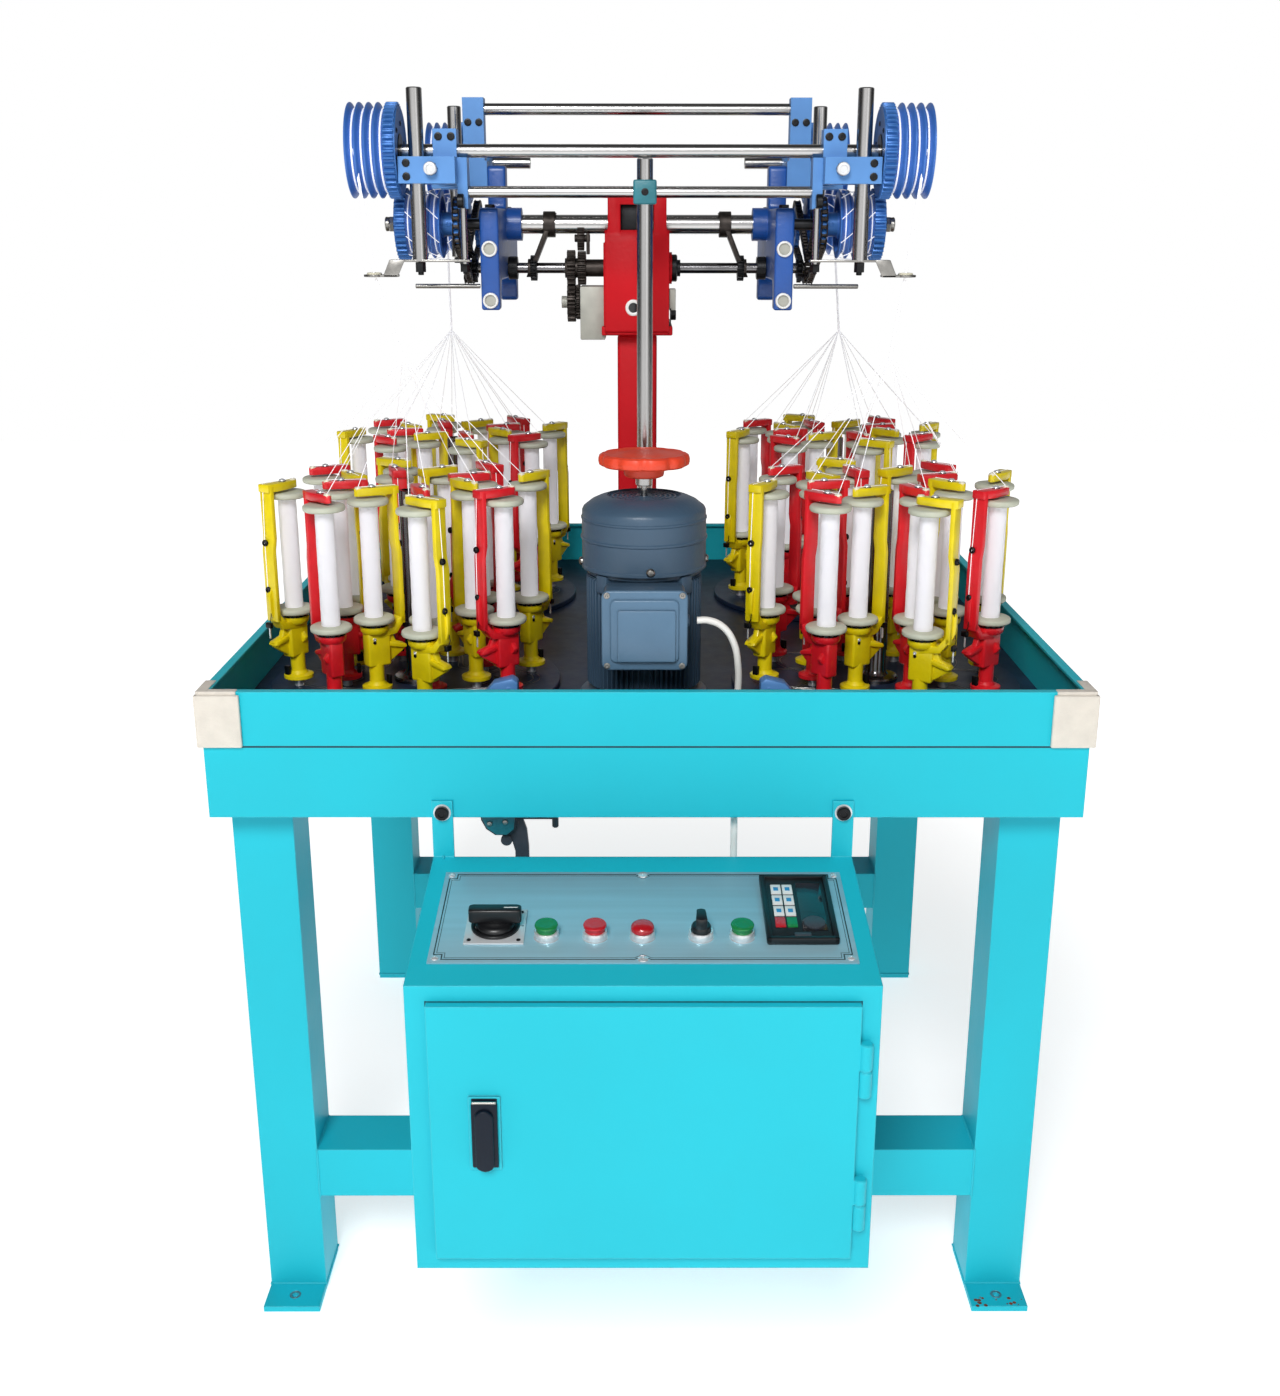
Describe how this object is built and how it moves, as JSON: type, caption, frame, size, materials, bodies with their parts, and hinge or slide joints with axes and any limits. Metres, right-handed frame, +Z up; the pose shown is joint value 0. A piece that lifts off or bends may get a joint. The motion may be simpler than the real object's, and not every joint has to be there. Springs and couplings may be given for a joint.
{
  "type": "rope braiding machine",
  "caption": "Rope braiding machine: steel table with braiding heads and yarn carriers, deck motor, control cabinet and an overhead geared capstan take-up.",
  "frame": {"origin": "middle of the footprint, on the floor", "axes": "+Z up, +X to the right as seen by the operator, -Y towards the operator at the control cabinet"},
  "size_m": [1.052, 1.3286, 1.535],
  "materials": {
    "cyan_paint": "gloss enamel",
    "deck_paint": "satin enamel",
    "foam": "matt closed-cell foam",
    "brushed_steel": "brushed",
    "chrome": "polished",
    "dark_steel": "blackened",
    "black_plastic": "semi gloss",
    "motor_paint": "semi gloss",
    "orange_plastic": "semi gloss",
    "red_paint": "gloss enamel",
    "green_plastic": "gloss",
    "red_plastic": "gloss",
    "clamp_blue": "blue anodised",
    "capstan_blue": "blue anodised",
    "bracket_blue": "semi gloss",
    "carrier_yellow": "semi gloss",
    "yarn": "matt wound yarn",
    "cable_white": "satin sheath",
    "belt_rubber": "matt"
  },
  "bodies": {
    "frame": {"table_frame": "cyan_paint", "tray_rim": "cyan_paint", "track_deck": "deck_paint", "front_leg_frame": "cyan_paint", "rear_leg_frame": "cyan_paint", "corner_guard_left": "foam", "corner_guard_right": "foam", "control_cabinet": "cyan_paint", "console_plate": "brushed_steel", "pilot_lamp": "red_plastic", "keypad": "black_plastic", "motor_housing": "motor_paint", "fan_cover": "motor_paint", "terminal_box": "motor_paint", "motor_cable": "cable_white", "drive_belt": "belt_rubber", "column": "red_paint", "gearbox": "red_paint", "centre_post": "chrome", "main_beam": "chrome", "upper_tie_bar": "chrome", "front_capstan_bar": "chrome", "lower_tie_bar": "chrome", "side_bracket_left": "bracket_blue", "side_bracket_right": "bracket_blue", "mid_block_left": "clamp_blue", "mid_block_right": "clamp_blue", "front_clamp_left": "clamp_blue", "front_clamp_right": "clamp_blue", "front_post_left": "chrome", "front_post_right": "chrome", "rear_clamp_left": "clamp_blue", "rear_clamp_right": "clamp_blue", "head_front_left": "carrier_yellow", "head_front_right": "carrier_yellow", "head_rear_left": "carrier_yellow", "head_rear_right": "carrier_yellow", "carrier_front_right": "carrier_yellow"},
    "rotor": {"handwheel": "orange_plastic", "motor_pulley": "dark_steel"},
    "upright": {"upright_shaft": "dark_steel"},
    "drive": {"drive_shaft": "dark_steel"},
    "idler": {"change_gear": "dark_steel"},
    "upper_front_left": {"upper_capstan_front_left": "capstan_blue"},
    "upper_front_right": {"upper_capstan_front_right": "capstan_blue"},
    "upper_rear_left": {"upper_capstan_rear_left": "capstan_blue"},
    "upper_rear_right": {"upper_capstan_rear_right": "capstan_blue"},
    "lower_front_left": {"lower_capstan_front_left": "capstan_blue"},
    "lower_front_right": {"lower_capstan_front_right": "capstan_blue"},
    "lower_rear_left": {"lower_capstan_rear_left": "capstan_blue"},
    "lower_rear_right": {"lower_capstan_rear_right": "capstan_blue"},
    "door": {"cabinet_door": "cyan_paint"},
    "handle": {"door_handle": "black_plastic"},
    "start": {"start_button": "green_plastic"},
    "stop": {"stop_button": "red_plastic"},
    "jog": {"jog_button": "green_plastic"},
    "selector": {"selector_knob": "black_plastic"},
    "main_switch": {"main_switch_knob": "black_plastic"},
    "bobbin": {"bobbin_front_right": "yarn"}
  },
  "joints": [
    {"name": "rotor_spin", "type": "hinge", "parent": "frame", "child": "rotor", "pos_m": [-0.003, -0.1917, 0.9], "axis": [0, 0, 1], "continuous": true},
    {"name": "upright_spin", "type": "hinge", "parent": "frame", "child": "upright", "pos_m": [-0.012, 0.0883, 0.9], "axis": [0, 0, 1], "continuous": true},
    {"name": "drive_spin", "type": "hinge", "parent": "frame", "child": "drive", "pos_m": [-0.012, 0.0883, 1.318], "axis": [1, 0, 0], "continuous": true},
    {"name": "idler_spin", "type": "hinge", "parent": "frame", "child": "idler", "pos_m": [-0.012, 0.0883, 1.273], "axis": [1, 0, 0], "continuous": true},
    {"name": "upper_front_left_spin", "type": "hinge", "parent": "frame", "child": "upper_front_left", "pos_m": [-0.012, -0.0867, 1.461], "axis": [1, 0, 0], "continuous": true},
    {"name": "lower_front_left_spin", "type": "hinge", "parent": "frame", "child": "lower_front_left", "pos_m": [-0.012, -0.0417, 1.375], "axis": [1, 0, 0], "continuous": true},
    {"name": "upper_front_right_spin", "type": "hinge", "parent": "frame", "child": "upper_front_right", "pos_m": [-0.012, -0.0867, 1.461], "axis": [1, 0, 0], "continuous": true},
    {"name": "lower_front_right_spin", "type": "hinge", "parent": "frame", "child": "lower_front_right", "pos_m": [-0.012, -0.0417, 1.375], "axis": [1, 0, 0], "continuous": true},
    {"name": "upper_rear_left_spin", "type": "hinge", "parent": "frame", "child": "upper_rear_left", "pos_m": [-0.012, 0.2883, 1.461], "axis": [1, 0, 0], "continuous": true},
    {"name": "lower_rear_left_spin", "type": "hinge", "parent": "frame", "child": "lower_rear_left", "pos_m": [-0.012, 0.2433, 1.375], "axis": [1, 0, 0], "continuous": true},
    {"name": "upper_rear_right_spin", "type": "hinge", "parent": "frame", "child": "upper_rear_right", "pos_m": [-0.012, 0.2883, 1.461], "axis": [1, 0, 0], "continuous": true},
    {"name": "lower_rear_right_spin", "type": "hinge", "parent": "frame", "child": "lower_rear_right", "pos_m": [-0.012, 0.2433, 1.375], "axis": [1, 0, 0], "continuous": true},
    {"name": "door_hinge", "type": "hinge", "parent": "frame", "child": "door", "pos_m": [0.231, -0.647, 0.44], "axis": [0, 0, 1], "range_deg": [0, 110]},
    {"name": "handle_lift", "type": "hinge", "parent": "door", "child": "handle", "pos_m": [-0.177, -0.6533, 0.488], "axis": [-1, 0, 0], "range_deg": [0, 35]},
    {"name": "start_press", "type": "slide", "parent": "frame", "child": "start", "axis": [0, 0.1403, -0.9901], "range_m": [0, 0.004], "stiffness_N_per_m": 400},
    {"name": "stop_press", "type": "slide", "parent": "frame", "child": "stop", "axis": [0, 0.1403, -0.9901], "range_m": [0, 0.004], "stiffness_N_per_m": 400},
    {"name": "jog_press", "type": "slide", "parent": "frame", "child": "jog", "axis": [0, 0.1403, -0.9901], "range_m": [0, 0.004], "stiffness_N_per_m": 400},
    {"name": "selector_turn", "type": "hinge", "parent": "frame", "child": "selector", "pos_m": [0.059, -0.555, 0.6371], "axis": [0, -0.1403, 0.9901], "range_deg": [-45, 45]},
    {"name": "main_switch_turn", "type": "hinge", "parent": "frame", "child": "main_switch", "pos_m": [-0.167, -0.5391, 0.6394], "axis": [0, -0.1403, 0.9901], "range_deg": [0, 90]},
    {"name": "bobbin_spin", "type": "hinge", "parent": "frame", "child": "bobbin", "pos_m": [0.3358, -0.2811, 0.97], "axis": [0, 0, 1], "continuous": true}
  ],
  "couplings": [
    {"joint": "upright_spin", "follows": "rotor_spin", "ratio": 0.63636},
    {"joint": "drive_spin", "follows": "rotor_spin", "ratio": 0.063636},
    {"joint": "idler_spin", "follows": "rotor_spin", "ratio": -0.055682},
    {"joint": "upper_front_left_spin", "follows": "rotor_spin", "ratio": -0.024587},
    {"joint": "lower_front_left_spin", "follows": "rotor_spin", "ratio": 0.031818},
    {"joint": "upper_front_right_spin", "follows": "rotor_spin", "ratio": -0.024587},
    {"joint": "lower_front_right_spin", "follows": "rotor_spin", "ratio": 0.031818},
    {"joint": "upper_rear_left_spin", "follows": "rotor_spin", "ratio": -0.024587},
    {"joint": "lower_rear_left_spin", "follows": "rotor_spin", "ratio": 0.031818},
    {"joint": "upper_rear_right_spin", "follows": "rotor_spin", "ratio": -0.024587},
    {"joint": "lower_rear_right_spin", "follows": "rotor_spin", "ratio": 0.031818}
  ]
}
